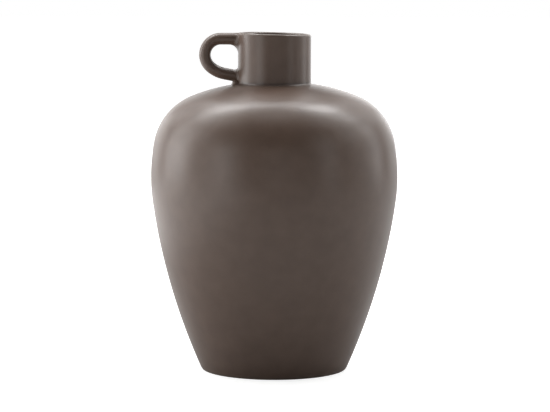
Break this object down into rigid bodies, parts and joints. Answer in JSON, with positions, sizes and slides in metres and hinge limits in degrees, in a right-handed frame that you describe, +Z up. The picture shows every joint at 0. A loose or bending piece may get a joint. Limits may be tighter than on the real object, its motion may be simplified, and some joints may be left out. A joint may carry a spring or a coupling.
{
  "type": "stoneware jar with loop handle",
  "caption": "Broad-shouldered stoneware jar with a short cylindrical neck, a rounded lip and a small finger loop handle luted to the neck; stands on a trimmed foot ring.",
  "frame": {"origin": "centre of the foot ring on the plane that the jar stands on", "axes": "+Z up along the jar's axis, -X towards the handle, the jar is symmetric about the XZ plane"},
  "size_m": [0.2344, 0.2344, 0.3209],
  "materials": {
    "satin_glaze": "satin dark taupe brown glaze over stoneware, faintly mottled, bare clay on the foot ring",
    "fired_slip": "matt fired stoneware slip"
  },
  "bodies": {
    "root": {"lower_body": "satin_glaze", "belly_slip_seam": "fired_slip", "shoulder": "satin_glaze", "neck_slip_seam": "fired_slip", "neck_collar": "satin_glaze", "handle": "satin_glaze", "handle_top_slip": "fired_slip", "handle_bottom_slip": "fired_slip"}
  },
  "joints": []
}
